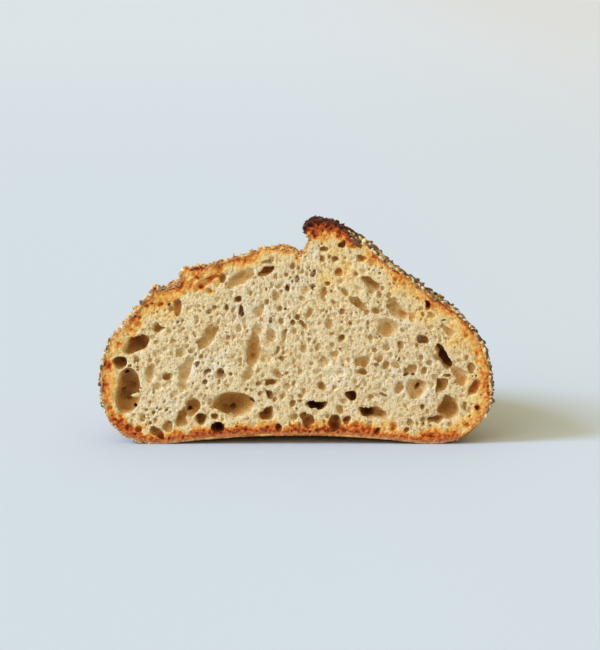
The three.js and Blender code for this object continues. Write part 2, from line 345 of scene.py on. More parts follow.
# Pores that show in the cut: across, up, length, width, slope in degrees, depth to width.
PORES = [
    (-77, 25, 22, 12, 82, 0.75), (-80.5, 38, 6.5, 6, 0, 1.4), (-73, 46.5, 12.5, 8, 25, 1.1),
    (-63, 54, 5.5, 4.5, 30, 1.2), (-54.5, 64, 6, 4, 70, 1.0), (-40, 49.5, 15, 5.5, 50, 0.8),
    (-19, 44, 17.5, 6, 84, 0.65), (-14.5, 41.5, 9, 5, -50, 0.45), (-25, 77, 16, 6.4, 35, 0.5),
    (-13, 81, 8, 4, 20, 1.4),
    (-53, 11.8, 8.6, 5.6, 72, 0.95), (-47, 17.5, 8, 6.5, 80, 0.9), (-28.5, 18.7, 19, 11, 0, 0.65),
    (-66.5, 33, 9, 5.2, 80, 0.5), (-51, 33.5, 15.5, 5, 76, 0.5), (-13, 14.5, 7, 6, 80, 1.3),
    (-16.5, 62, 7, 4, 65, 0.7), (-11, 50, 8, 3.4, 85, 0.8), (34, 75, 11, 4.5, -42, 1.1),
    (29, 65.5, 10, 4.4, -40, 0.8), (47.5, 63, 10.5, 6, -42, 0.7), (42, 54.5, 10, 8, 35, 0.45),
    (66.6, 45.6, 5.6, 3.4, -62, 2.6), (68.2, 42, 7, 4.9, -62, 2.1),
    (69.9, 38.4, 7.4, 5.4, -66, 2.0), (75.2, 32.4, 10, 5.2, -42, 0.6),
    (83.2, 26.8, 9, 4.2, 72, 1.3), (67.2, 27, 7.4, 6.6, 75, 0.8), (70.7, 17.2, 9.6, 9, 80, 0.8),
    (64.6, 11.8, 7.5, 3.4, 22, 1.8), (55.6, 26.4, 10.5, 8.2, 85, 0.5), (55.7, 27, 4.6, 2.6, 58, 2.6),
    (48, 26.5, 5, 4.5, 90, 0.9), (36.5, 14.5, 12.5, 5, -8, 1.2), (33, 15.2, 7, 4.6, 0, 2.4),
    (26, 23, 6, 5, -20, 1.6), (9, 18.5, 11, 3, 0, 3.6), (17, 32.5, 10, 4, 0, 0.5),
    (31, 38.5, 6.5, 4.5, -10, 0.7), (18, 10, 7, 6, 60, 1.2), (6, 11, 6.5, 6, 90, 1.2),
    (12, 27, 5, 4.5, 90, 1.0), (-41, 75.4, 10, 2.8, 40, 1.2), (-39.3, 72, 2.8, 2.8, 0, 1.2),
    (-31.7, 64.3, 3.7, 2.8, 80, 1.2), (-24.8, 62, 4.6, 3.2, 70, 1.4), (-4.9, 50.6, 7.3, 1.6, 85, 1.8),
    (-31, 15.5, 5, 3.7, -10, 2.0), (-20.7, 20.9, 4.1, 1.6, -35, 2.5), (-36.3, 7.3, 6, 4.6, 0, 1.8),
    (-59, 8.3, 4.1, 3.7, 0, 1.0), (-64, 5.5, 7.3, 4.6, -15, 1.0), (-76.7, 8.3, 3.7, 3.2, 80, 1.0),
    (-73, 6.9, 3.2, 2.8, 80, 1.0), (-11.5, 29, 5, 3.2, 0, 1.5), (-4, 26.6, 4.1, 4.1, 0, 0.6),
    (-21.4, 32.4, 6.4, 4.1, 90, 0.4), (61, 64.5, 4.1, 3.7, -30, 1.6), (70.4, 52.6, 5, 2.6, -8, 1.2),
    (65.4, 41, 3.7, 2.8, 90, 0.9), (80.3, 36, 5, 3.7, -60, 0.7), (84.2, 17.3, 3.4, 3, 90, 1.3),
    (53.2, 35.8, 4.1, 3.7, 90, 0.8), (58.4, 17.4, 3.2, 2.8, 80, 1.2), (30.8, 33.8, 4.6, 3.2, 0, 0.8),
    (24, 11.2, 3.7, 3.7, 0, 1.6), (0.5, 13, 3.7, 3.7, 0, 1.0), (34.7, 9, 3.7, 3.2, 90, 0.9),
    (37.8, 5.8, 3.7, 2.8, 90, 1.6), (13, 70.7, 4.1, 3.2, 90, 0.8), (18, 86.5, 3.6, 2.6, 0, 1.5),
    (12.5, 90.7, 3.4, 3, 0, 1.3), (30.9, 86.5, 4.6, 3.2, 0, 1.5), (21.6, 92.9, 4.1, 3.7, 60, 1.2),
    (37, 62.2, 3.2, 3.2, 0, 1.0), (3.7, 56.5, 7.3, 1.8, -60, 1.1), (10.6, 45.3, 5, 2.3, 85, 0.8),
    (34.4, 49.7, 2.5, 2.4, 0, 1.0), (36.3, 43.8, 3, 2.8, 0, 1.0), (42.2, 44.8, 4.1, 4.1, 0, 0.6),
    (49.8, 70, 3.7, 3.2, 0, 0.7), (-76, 37, 2.4, 1.2, 30, 2), (-70, 12, 4.5, 3.2, 60, 0.6),
    (-8, 8, 4, 3.4, 90, 1.2), (45, 8.5, 4.4, 3.4, 80, 1.0), (51, 6.5, 3.4, 2.8, 0, 1.2),
    (34.6, 22.3, 3.2, 3, 0, 0.9), (-62, 65.6, 3, 2.2, 40, 1.2), (-57.8, 63, 3.6, 2.4, 60, 1.0),
    (45, 67.2, 4.6, 1.8, -10, 1.4), (34.2, 71.3, 2.6, 1.8, 0, 1.2),
]

# Lobes make the larger ones uneven: how far they lie off, their size and their turn.
LOBE_SHIFT, LOBE_SIZE, LOBE_TURN = 0.36, (0.5, 0.75), 0.5
STEEP = 2  # no lobes on a pore as deep to its width as this

# Dark pits in the floors of the pores, the same way but with the depth where each starts.
PITS = [
    (-77.7, 32.6, 2.7, 1.6, 10, 6, 3.5), (-73.4, 18.1, 2.4, 1.7, 80, 6, 3.5),
    (-79.7, 24.8, 1.3, 1.2, 0, 7, 3), (-49.2, 16, 2.6, 2.2, 60, 3, 5),
    (-29.2, 16.1, 3.2, 2.4, 20, 5, 4.5), (-20, 41, 2.4, 2, 0, 2.5, 3),
    (-82, 38.8, 3.4, 2.6, 60, 2.5, 5), (9.2, 17, 9, 4, 0, 5.2, 5), (33, 14.2, 5.6, 4, 0, 5, 4.6),
    (69, 40.4, 9, 4.6, -62, 5.6, 5.2),
]

# The pores between them: how many, and the shortest and longest.
SMALL_PORES = [(90, 3.4, 5.6), (600, 2.0, 3.3), (1900, 1.1, 1.9)]
TRIES = 3  # for each small pore
CLEAR, CLEAR_SHARE = 1.2, 0.35  # they keep off the crust by this and a share of their length
SMALLER_NEAR, SMALLER = 6, 0.75  # this near to the crust they are smaller

# Seeds and bran in the cut: across, up, length, width, slope, tone (0 dark to 1 pale).
INCLUSIONS = [
    (19.3, 25.5, 4.2, 2.2, 20, 0.95), (-72.8, 23.2, 5.2, 2.4, 5, 0.85), (-20.2, 21, 3.7, 1.4, -35, 0.1),
    (-65.7, 24.1, 3.0, 1.2, 85, 0.45), (0.7, 76.7, 3.4, 2.4, 60, 0.48), (7.6, 79.4, 3, 2, 30, 0.46),
    (-13.5, 85.4, 5, 2.2, 15, 0.47), (-45.9, 37.4, 3, 1.6, 70, 0.42), (-46.6, 32.6, 2.6, 1.4, 60, 0.4),
    (-11.5, 58.5, 3, 1.8, 80, 0.45), (47.5, 39.9, 2.6, 1.4, 70, 0.4), (47.7, 43.8, 2.2, 1.2, 60, 0.4),
    (36.9, 37.4, 2.6, 2, 0, 0.42), (40, 23.5, 4, 1.6, -20, 0.42), (57.6, 49.1, 3, 1.4, 75, 0.2),
    (67.5, 58, 3.4, 1.2, 10, 0.25), (8, 73.4, 2, 1.4, 0, 0.15), (-4.8, 63.3, 1.8, 1.2, 0, 0.15),
    (50.5, 32.7, 2.8, 1.4, 30, 0.1), (-44, 33.8, 5.2, 0.9, 45, 0.1), (-38.5, 36.8, 1.5, 1, 0, 0.02),
    (-36.2, 35.4, 1.7, 1.1, 40, 0.02), (-34.2, 36.9, 1.4, 0.9, 20, 0.05), (-37.6, 33.2, 1.6, 1, 80, 0.02),
    (-33.4, 33.8, 1.9, 1.2, 60, 0.02), (-35.8, 37.8, 3, 0.8, 10, 0.3), (-39.5, 34.6, 1.4, 0.8, 0, 0.3),
    (-62.3, 72.3, 4.2, 2.8, 80, 0.62), (-60.2, 72.8, 3, 1.8, 30, 0.1), (31.3, 94.2, 3.4, 2.6, 70, 0.95),
    (34.3, 91.8, 4, 2.4, -45, 0.2), (36.8, 89.4, 4, 2.2, -40, 0.3), (-51.4, 81.2, 2.8, 2, -10, 0.95),
    (-66, 65.5, 3.4, 1.6, 30, 0.2), (-24.4, 61, 2.4, 1.6, 80, 0.12), (54, 33, 1.6, 1.2, 0, 0.12),
    (-57.9, 65.4, 1.9, 1.5, 30, 0.05), (-54, 66.9, 3.8, 1.8, -10, 0.3),
]


def section(depth):
    """Distance to the crust's edge at a depth, negative inside, and the nearest place on it."""
    edge = inner_edge(ROUNDS, depth, 0)[:, (0, 2)]
    following = np.roll(edge, -1, 0)
    gx, gz = np.meshgrid(GRID_X, GRID_Z, indexing="ij")
    nearest = np.full(gx.shape, 1e9)
    place = np.zeros(gx.shape)
    inside = np.zeros(gx.shape, bool)
    for a, b, around in zip(edge, following, ROUNDS):
        along = b - a
        t = np.clip(((gx - a[0]) * along[0] + (gz - a[1]) * along[1]) / (along @ along), 0, 1)
        distance = (gx - a[0] - t * along[0]) ** 2 + (gz - a[1] - t * along[1]) ** 2
        closer = distance < nearest
        nearest[closer] = distance[closer]
        place[closer] = around
        if a[1] != b[1]:
            crosses = ((gz < a[1]) != (gz < b[1]))
            inside ^= crosses & (gx < a[0] + (gz - a[1]) * along[0] / along[1])
    return np.where(inside, -1, 1) * np.sqrt(nearest), place


GRID_X = np.arange(-HALF_WIDTH - FIELD_MARGIN, HALF_WIDTH + FIELD_MARGIN, CELL)
GRID_Y = np.arange(SLAB[0], SLAB[1] + 1, CELL)
GRID_Z = np.arange(FIELD_BOTTOM, FIELD_TOP, CELL)
CUT_SECTION, CUT_PLACE = section(0)


def look_up(table, x, z):
    """Reads a table over the cut at the nearest grid point."""
    i, k = (np.clip(np.rint((np.asarray(value) - grid[0]) / CELL).astype(int), 0, len(grid) - 1)
            for value, grid in ((x, GRID_X), (z, GRID_Z)))
    return table[i, k]


def pore_list():
    """Every pore as its middle, its half sizes along, across and behind, and its slope."""
    draw = np.random.default_rng(21)
    pores = []
    for x, z, length, width, slope, deep in PORES:
        angle = math.radians(slope)
        behind = deep * width
        pores.append((x, 0, z, length / 2, width / 2, behind, angle))
        for _ in range(3 if 6 < length < 16 else 2 if 4 < length <= 6 else 0):
            along = draw.uniform(-LOBE_SHIFT, LOBE_SHIFT) * length
            across = draw.uniform(-LOBE_SHIFT, LOBE_SHIFT) * width
            size = draw.uniform(*LOBE_SIZE)
            lobe = (x + along * math.cos(angle) - across * math.sin(angle),
                    draw.uniform(0, 0.4) * behind,
                    z + along * math.sin(angle) + across * math.cos(angle),
                    size * length / 2, size * width / 2, size * behind,
                    angle + draw.uniform(-LOBE_TURN, LOBE_TURN))
            if deep < STEEP:
                pores.append(lobe)
    taken = [(p[0], p[2], (p[3] + p[4]) / 2) for p in pores]
    for x, z, length, width, slope, start, deep in PITS:
        pores.append((x, start, z, length / 2, width / 2, deep, math.radians(slope)))
    for count, shortest, longest in SMALL_PORES:
        for _ in range(count * TRIES):
            x, z = draw.uniform(-HALF_WIDTH, HALF_WIDTH), draw.uniform(0, TOP)
            length = mix(shortest, longest, draw.random() ** 1.6)
            rim = -look_up(CUT_SECTION, x, z)
            if rim < CLEAR + CLEAR_SHARE * length:
                continue
            if rim < SMALLER_NEAR:
                length *= SMALLER
            width = length / draw.uniform(1.05, 1.7)
            radius = (length + width) / 4
            others = np.array(taken)
            gaps = np.hypot(others[:, 0] - x, others[:, 1] - z) - others[:, 2] - radius
            if gaps.min() < draw.uniform(-0.1, 0.35):
                continue
            angle = math.atan2(FOCUS[1] - z, FOCUS[0] - x) + draw.normal(0, 0.45)
            behind = width * (0.35 + 0.85 * draw.random() ** 2.5)
            pores.append((x, draw.uniform(-0.2, 0.3) * width, z,
                          length / 2, width / 2, behind, angle))
            taken.append((x, z, radius))
            count -= 1
            if count == 0:
                break
    return pores


WARP_REACH = 1.5  # how far a pore's wall can bend out


def crumb_field():
    """Distance to the crumb's surface in every cell of the slab, negative inside it."""
    x, y, z = np.meshgrid(GRID_X, GRID_Y, GRID_Z, indexing="ij", sparse=True)
    depths = (0, SLAB[1] / 2, SLAB[1])
    sides = [CUT_SECTION] + [section(d)[0] for d in depths[1:]]
    t = np.clip(y / depths[1], 0, 2)
    first, second, third = (s[:, None, :] for s in sides)
    side = np.where(t < 1, mix(first, second, t), mix(second, third, t - 1)) + INSET
    front = 0.35 * soft_noise(x, 0, z, 13, 5) - y
    field = np.maximum(np.maximum(side, front), y - SLAB[1]).astype(np.float32)
    warp = [0.9 * soft_noise(x, y, z, 2.6, 50 + k) + 1.1 * soft_noise(x, y, z, 7, 60 + k)
            for k in range(3)]
    for px, py, pz, length, width, behind, angle in pore_list():
        reach = length + WARP_REACH
        i0, i1 = np.searchsorted(GRID_X, (px - reach, px + reach))
        k0, k1 = np.searchsorted(GRID_Z, (pz - reach, pz + reach))
        j1 = np.searchsorted(GRID_Y, py + behind + WARP_REACH)
        block = (slice(i0, i1), slice(0, j1), slice(k0, k1))
        calm = min(1, length / 2)
        dx = x[i0:i1] + calm * warp[0][block] - px
        dy = y[:, :j1] + calm * warp[1][block] - py
        dz = z[:, :, k0:k1] + calm * warp[2][block] - pz
        along = (dx * math.cos(angle) + dz * math.sin(angle)) / length
        across = (dz * math.cos(angle) - dx * math.sin(angle)) / width
        back = dy / behind
        # The usual estimate of the distance to an ellipsoid.
        k_0 = np.sqrt(along ** 2 + across ** 2 + back ** 2) + 1e-6
        k_1 = np.sqrt((along / length) ** 2 + (across / width) ** 2 + (back / behind) ** 2) + 1e-6
        field[block] = np.maximum(field[block], -k_0 * (k_0 - 1) / k_1)
    return field + 0.13 * soft_noise(x, y, z, 1.2, 70)


def largest_shell(points, faces):
    """Keeps the one connected surface with the most points."""
    label = np.arange(len(points))
    edges = np.concatenate([faces[:, (0, 1)], faces[:, (1, 2)], faces[:, (2, 0)]])
    while True:
        low = np.minimum(label[edges[:, 0]], label[edges[:, 1]])
        before = label.copy()
        np.minimum.at(label, edges[:, 0], low)
        np.minimum.at(label, edges[:, 1], low)
        label = label[label]
        if (label == before).all():
            break
    kept = label == np.bincount(label).argmax()
    renumber = np.cumsum(kept) - 1
    return points[kept], renumber[faces[kept[faces[:, 0]]]]


CREASE = (0.8, 81)  # across, and the lowest point of the closed crease below the score
# Places round the edge, how browned the cut is there, and how far in that reaches.
BROWNING = [
    (0, 0.77, 9.5), (0.04, 0.7, 8), (0.12, 0.54, 9), (0.2, 0.6, 10.5), (0.26, 0.6, 10.5),
    (SCORE_START, 0.5, 9), (share(2), 0.44, 8), (share(3), 0.46, 6), (SCORE_LIP, 0.2, 2),
    (share(5.5), 0.15, 2.5), (share(6.3), 0.5, 5), (share(7), 0.94, 8), (share(8), 0.94, 9.5),
    (share(9), 0.92, 8), (share(10), 0.84, 6), (share(11), 0.68, 5), (SCORE_END, 0.56, 7),
    (0.75, 0.62, 9.5), (0.86, 0.62, 9.5), (BOTTOM_START, 0.7, 8.5), (1, 0.77, 9.5),
]
EVEN_FROM, EVEN_TO = 0.62, 0.68  # between these the browning turns into an even band
GLOW, GLOW_REACH = 0.15, 2.4  # a faint golden tone behind the browning, and how far in it goes
# Browned and pale spots of the cut: across, up, radius and strength.
TOASTED = [
    (60, 64, 12, 0.3), (74, 50, 10, 0.28), (82, 26, 9, 0.24), (17, 93, 9, 0.22),
    (-58, 62, 9, 0.22), (-12, 84, 8, 0.18), (46, 74, 8, 0.26), (-78, 45, 8, 0.2),
    (6, 102.5, 4.5, 1.25), (10.5, 102.5, 4.5, 1.2), (8, 99, 4, 0.95), (15, 101, 4, 1.0),
    (13, 97.5, 4, 0.6), (20, 98.5, 3.5, 0.75), (6.5, 95.5, 3.5, 0.35), (24, 95, 3, 0.45),
    (20, 78, 15, 0.25), (-80.8, 47.4, 2.6, 0.85), (-72.5, 56.5, 2.4, 0.7), (-86.4, 37, 2.8, 0.8),
    (-60, 66.5, 3, 0.55), (-55, 67, 3, 0.5), (-63.5, 72.5, 2.6, 0.8), (-46.5, 79.8, 2.6, 0.7),
    (-44.3, 78.7, 2.2, 1.5), (-43, 73.8, 2.2, 0.7), (-39, 77.4, 2.4, 1.1), (-38.6, 71.4, 2, 0.5),
    (-13, 81, 3, 0.4), (61.5, 65, 2.6, 0.7), (72, 54, 3, 0.5), (79, 52, 3.5, 0.6),
    (86.5, 33, 3, 0.6), (84.3, 17, 2.4, 0.6), (80.5, 9, 3, 0.7),
]
PALE = [
    (-46, 36, 6, 0.7), (-37, 35.5, 5, 0.9), (-22, 62, 8, 0.5), (-11, 58, 7, 0.5),
    (-14, 82, 6, 0.4), (50.5, 56, 4, 0.8), (46, 30, 7, 0.6), (60, 24, 6, 0.5), (0, 76, 8, 0.4),
    (9, 88, 7, 0.4), (20, 30, 7, 0.5), (-60, 18, 6, 0.4), (30, 80, 6, 0.2), (60, 40, 6, 0.4),
]


def spots(x, z, spot_list):
    """How strong the strongest of some uneven round spots is at each place."""
    patchy = 0.8 + 0.5 * rough_noise(x, 0, z, 4, 2, 84)
    return patchy * np.max([amount * np.exp(-((x - across) ** 2 + (z - up) ** 2) / size ** 2)
                            for across, up, size, amount in spot_list], 0)


def browning(x, z):
    """How browned each place of the cut is, from 0 for crumb to 1 for burnt."""
    places, peaks, widths = np.array(BROWNING).T
    place = look_up(CUT_PLACE, x, z)
    rim = np.maximum(0, -look_up(CUT_SECTION, x, z))
    reach = np.interp(place, places, widths) * (1 + 0.5 * rough_noise(x, 0, z, 5, 2, 80))
    crease = np.exp(-((x - CREASE[0]) / 1.6) ** 2) * smoothstep(z, CREASE[1], CREASE[1] + 2)
    peak = np.maximum(np.interp(place, places, peaks), 0.68 * crease * (rim < 9))
    band = 1 - smoothstep(rim, 0.25 * reach, np.maximum(reach, 9 * (crease > 0.3)))
    even = smoothstep(peak, EVEN_FROM, EVEN_TO)
    graded = (0.45 * (1 - smoothstep(rim, 0, 0.35 * reach)) + 0.65 * band) * (
        1 + 0.6 * rough_noise(x, 0, z, 4.5, 2, 88))
    dark = peak * mix(graded, band, even)
    warm = np.maximum(GLOW * (1 - smoothstep(rim, 0, GLOW_REACH * reach)), spots(x, z, TOASTED))
    return np.clip(np.maximum(dark, warm), 0, 1)


def dusty(x, z):
    """Where the cut shows the pale, floury skin of the bottom."""
    at_bottom = 1 - between(look_up(CUT_PLACE, x, z), 0.01, BOTTOM_START, 0.03)
    return at_bottom * (1 - smoothstep(-look_up(CUT_SECTION, x, z), 0.7, 2.3))


FIELD = crumb_field()
CUT_LAYER = np.argmin(np.abs(GRID_Y - 0.4))  # the cells just behind the cut


def make_crumb(material):
    grid = openvdb.FloatGrid(FIELD_LIMIT)
    grid.copyFromArray(np.clip(FIELD, -FIELD_LIMIT, FIELD_LIMIT).astype(np.float32))
    points, triangles, quads = grid.convertToPolygons(isovalue=0, adaptivity=0.25)
    points = points * CELL + (GRID_X[0], GRID_Y[0] + CUT_Y, GRID_Z[0])
    faces = np.concatenate([triangles, quads[:, (0, 1, 2)], quads[:, (0, 2, 3)]]).astype(int)
    points, faces = largest_shell(points, faces)
    a, b, c = (points[faces[:, k]] for k in range(3))
    if np.einsum("ij,ij->i", a, np.cross(b, c)).sum() < 0:
        faces = faces[:, ::-1]
    x, y, z = points.T
    piece = piece_from_arrays("crumb", points, faces, material, browned=browning(x, z),
                              pale=spots(x, z, PALE), dusty=dusty(x, z))
    away, turned = np.hypot(x, FLOW_FOCUS - z), np.arctan2(x, FLOW_FOCUS - z)
    flow = np.stack([turned * FLOW_WIDTH, y, away * FLOW_STRETCH], 1)
    layer = piece.data.attributes.new("flow", "FLOAT_VECTOR", "POINT")
    layer.data.foreach_set("vector", flow.ravel())


# ---- materials

Socket = bpy.types.NodeSocket


def srgb(red, green, blue):
    """A colour as seen on a screen, 0 to 255, as the linear values that shaders take."""
    def linear(v):
        v /= 255
        return v / 12.92 if v <= 0.04045 else ((v + 0.055) / 1.055) ** 2.4
    return (linear(red), linear(green), linear(blue), 1)


def fill(node, inputs):
    """Joins sockets to a node's inputs, and sets the inputs that have a plain value."""
    for name, value in inputs.items():
        if isinstance(value, Socket):
            node.id_data.links.new(value, node.inputs[name])
        else:
            node.inputs[name].default_value = value
    return node


def add(kind, inputs, tree=None, **settings):
    """Adds a node to a tree, or beside the nodes that feed it."""
    tree = tree or next(v.id_data for v in inputs.values() if isinstance(v, Socket))
    node = tree.nodes.new(kind)
    for name, value in settings.items():
        setattr(node, name, value)
    return fill(node, inputs)


def maths(operation, a, b, clamp=False):
    return add("ShaderNodeMath", {0: a, 1: b}, operation=operation, use_clamp=clamp).outputs[0]


times, plus, minus = (partial(maths, kind) for kind in ("MULTIPLY", "ADD", "SUBTRACT"))


def vector_maths(operation, inputs):
    return add("ShaderNodeVectorMath", inputs, operation=operation).outputs[0]


def spread(value, low, high, to_low=0, to_high=1):
    """Maps values from low to high onto 0 to 1, or onto the two given values."""
    return add("ShaderNodeMapRange", {"Value": value, "From Min": low, "From Max": high,
               "To Min": to_low, "To Max": to_high}, interpolation_type="SMOOTHSTEP").outputs[0]


def blend(factor, a, b):
    """Mixes two colours, each from a socket or as seen on a screen."""
    a, b = (colour if isinstance(colour, Socket) else srgb(*colour) for colour in (a, b))
    return add("ShaderNodeMix", {0: factor, 6: a, 7: b}, data_type="RGBA").outputs[2]


def coats(colour, *layers):
    """Lays colours over one another, each as far as its mask says."""
    for mask, coat in layers:
        colour = blend(mask, colour, coat)
    return colour


def ramp(factor, *stops):
    node = add("ShaderNodeValToRGB", {"Fac": factor})
    elements = node.color_ramp.elements
    while len(elements) < len(stops):
        elements.new(0.5)
    for element, (place, colour) in zip(elements, stops):
        element.position = place
        element.color = srgb(*colour)
    return node.outputs["Color"]


def attribute(tree, name, output="Fac"):
    return add("ShaderNodeAttribute", {}, tree, attribute_name=name).outputs[output]


def place_in_mm(tree):
    """Object coordinates in millimetres."""
    where = add("ShaderNodeTexCoord", {}, tree).outputs["Object"]
    return vector_maths("SCALE", {0: where, "Scale": 1000})


def axes_of(place):
    return add("ShaderNodeSeparateXYZ", {0: place}).outputs


def new_group(build, inputs, output):
    """A node group of what a function builds from its inputs, all numbers but Place."""
    tree = bpy.data.node_groups.new(build.__name__, "ShaderNodeTree")
    for socket in inputs:
        kind = "NodeSocketVector" if socket == "Place" else "NodeSocketFloat"
        tree.interface.new_socket(socket, in_out="INPUT", socket_type=kind)
    tree.interface.new_socket(output, in_out="OUTPUT", socket_type="NodeSocketFloat")
    built = build(tree.nodes.new("NodeGroupInput").outputs)
    tree.links.new(built, tree.nodes.new("NodeGroupOutput").inputs[output])
    return tree


def pattern(kind, given, factor=1.0, feature=None, **inputs):
    """A texture at a group's place, with lumps or cells of its size."""
    scale = maths("DIVIDE", factor, given["Size"])
    settings = {"feature": feature} if feature else {}
    inputs = {"Vector": given["Place"], "Scale": scale, **inputs}
    return add("ShaderNodeTex" + kind, inputs, **settings).outputs


def mottle(given):
    """Patches of two tones: a mask from 0 to 1 with lumps of the given size."""
    noise = pattern("Noise", given, Detail=3, Roughness=0.55)["Fac"]
    return plus(times(minus(noise, 0.5), given["Contrast"]), 0.5, clamp=True)


def specks(given):
    """Small separate specks: a mask that is 1 in some of the cells of a pattern."""
    cells = pattern("Voronoi", given, factor=0.5)
    pick = add("ShaderNodeSeparateColor", {0: cells["Color"]}).outputs[0]
    chosen = maths("LESS_THAN", pick, given["Share"])
    return times(chosen, spread(cells["Distance"], 0.2, 0.36, 1, 0))


def foam(given):
    """Tiny bubbles with thin walls: a height, 1 on the walls and 0 in the bubbles."""
    noise = pattern("Noise", given, Detail=1)["Color"]
    bend = vector_maths("MULTIPLY", {0: noise, 1: (0.9, 0.9, 0.9)})
    bent = vector_maths("ADD", {0: given["Place"], 1: bend})
    cells = pattern("Voronoi", given, feature="SMOOTH_F1", Vector=bent)["Distance"]
    return spread(cells, 0.12, 0.42)


def pits(given):
    """The height of a surface full of little pits and grains, about 0 to 1."""
    cells = pattern("Voronoi", given, feature="SMOOTH_F1")["Distance"]
    noise = pattern("Noise", given, Detail=4, Roughness=0.6)["Fac"]
    return plus(times(cells, 0.6), noise)


MOTTLE = new_group(mottle, ("Place", "Size", "Contrast"), "Mask")
SPECKS = new_group(specks, ("Place", "Size", "Share"), "Mask")
FOAM, PITTED = (new_group(build, ("Place", "Size"), "Height") for build in (foam, pits))


def use(group, *inputs):
    """What a group gives for a place, a size and a contrast or share."""
    return add("ShaderNodeGroup", dict(enumerate(inputs)), node_tree=group).outputs[0]


def new_material(name):
    material = bpy.data.materials.new(name)
    material.use_nodes = True
    return material, material.node_tree, place_in_mm(material.node_tree)


def bump(height, distance, strength=1.0):
    return add("ShaderNodeBump", {"Height": height, "Distance": distance,
                                  "Strength": strength}).outputs[0]


def finish(material, colour, roughness, normal, shine=0.5):
    fill(material.node_tree.nodes["Principled BSDF"], {"Base Color": colour,
         "Roughness": roughness, "Normal": normal, "Specular IOR Level": shine})
    return material


def crumb_material():
    """Cream crumb with paler strands and browned towards the crust, with painted shade that darkens the
    pores the deeper they go and the tiny bubbles and holes of its grain.
    """
    material, tree, place = new_material("crumb")
    flow = attribute(tree, "flow", "Vector")
    x, y, _ = axes_of(place)
    depth = minus(y, CUT_Y)
    patches = use(MOTTLE, place, 9.0, 2.6)
    streaks = use(MOTTLE, flow, 2.4, 3.0)
    grains = use(MOTTLE, place, 0.6, 3.6)
    bubbles = use(FOAM, flow, 2.2)
    small_bubbles = use(FOAM, flow, 1.1)
    walls = times(bubbles, plus(0.4, times(small_bubbles, 0.6)))
    white = times(attribute(tree, "pale"), plus(0.4, streaks))
    # Painted shade: specks of dark tan where tiny holes would be shaded.
    hole_shade_specks = use(SPECKS, flow, 0.6, 0.3)
    cream = coats(blend(patches, (248, 228, 184), (236, 208, 154)),
                  (times(streaks, 0.65), (251, 242, 220)),
                  (times(grains, 0.65), (218, 184, 124)),
                  # Painted shade: the tiny bubbles between the walls are coloured darker tan.
                  (times(spread(walls, 0.9, 0.2), 0.55), (204, 154, 84)),
                  (times(white, 0.8, clamp=True), (250, 245, 228)),
                  (times(hole_shade_specks, 0.6), (166, 108, 48)),
                  (spread(x, 10, 95, 0, 0.25), (206, 160, 94)))

    browned = attribute(tree, "browned")
    near_crust = spread(browned, 0.06, 0.25)
    # Painted shade in the pores: the crumb is coloured darker and browner the deeper it lies behind the
    # cut, browner still near the crust.
    inside = spread(depth, 1.0, 5.0)
    shaded_pores = coats(cream, (times(spread(depth, 0.1, 1.6), 0.5), (212, 168, 96)),
                     (times(inside, 0.92), blend(near_crust, (202, 146, 68), (188, 92, 28))),
                     (spread(depth, 3.5, 10.0), blend(near_crust, (122, 66, 22), (74, 20, 4))))

    grit = minus(use(MOTTLE, place, 1.6, 3.4), 0.52)
    contrast = times(browned, spread(browned, 0.45, 1.0, 0.66, 0.3))
    uneven = plus(browned, times(grit, contrast), clamp=True)
    # Painted shade as well: the browning deepens inside the pores near the crust.
    uneven = plus(uneven, times(inside, times(browned, 0.6)), clamp=True)
    toasted = ramp(uneven, (0.0, (250, 226, 172)), (0.22, (246, 204, 124)),
                   (0.45, (234, 158, 70)), (0.62, (212, 108, 40)), (0.78, (170, 66, 22)),
                   (0.9, (98, 36, 14)), (1.0, (42, 16, 8)))
    # The toasted colour thins out in the deep pores, so that their painted shade shows.
    tint = times(spread(browned, 0.0, 0.32), minus(1.0, times(inside, 0.65)))
    floury = times(attribute(tree, "dusty"), plus(0.45, times(grains, 0.5)))
    bran = use(SPECKS, place, 0.6, 0.04)
    colour = coats(shaded_pores, (tint, toasted), (floury, (216, 156, 100)),
                   (times(bran, 0.55), (104, 66, 42)))
    fine = use(PITTED, place, 0.65)
    relief_height = plus(walls, times(fine, 0.65))
    return finish(material, colour, spread(fine, 0.2, 1.2, 0.95, 0.75),
                  bump(relief_height, 0.00045), shine=0.25)


def crust_material():
    """Browned skin, golden where it tore, burnt on the ear, floury on the left and below."""
    material, tree, place = new_material("crust")
    x, _, z = axes_of(place)
    patches = use(MOTTLE, place, 12.0, 3.0)
    grains = use(MOTTLE, place, 2.0, 3.0)
    skin = ramp(plus(times(patches, 0.55), times(grains, 0.45)), (0.0, (112, 60, 24)),
                (0.35, (170, 98, 40)), (0.6, (208, 146, 76)), (1.0, (236, 200, 140)))
    gold = ramp(grains, (0.0, (190, 108, 36)), (0.5, (226, 160, 74)), (1.0, (246, 212, 140)))
    burnt = ramp(grains, (0.0, (40, 16, 8)), (0.5, (92, 40, 20)), (1.0, (140, 78, 44)))
    bottom = ramp(grains, (0.0, (150, 96, 54)), (1.0, (206, 164, 118)))
    ear = plus(attribute(tree, "ear"), minus(times(plus(patches, grains), 0.3), 0.3))
    flour = times(spread(x, -35, -70, 0, 0.7), grains)
    dark = use(SPECKS, place, 0.9, 0.08)
    colour = coats(skin, (attribute(tree, "score"), gold), (spread(ear, 0.31, 0.6), burnt),
                   (flour, (238, 214, 172)), (spread(z, 0.3, 3.0, 1, 0), bottom),
                   (times(dark, 0.5), (90, 46, 20)))
    fine = use(PITTED, place, 1.1)
    return finish(material, colour, spread(fine, 0.2, 1.2, 0.85, 0.6),
                  bump(fine, 0.0004, 0.9), shine=0.35)


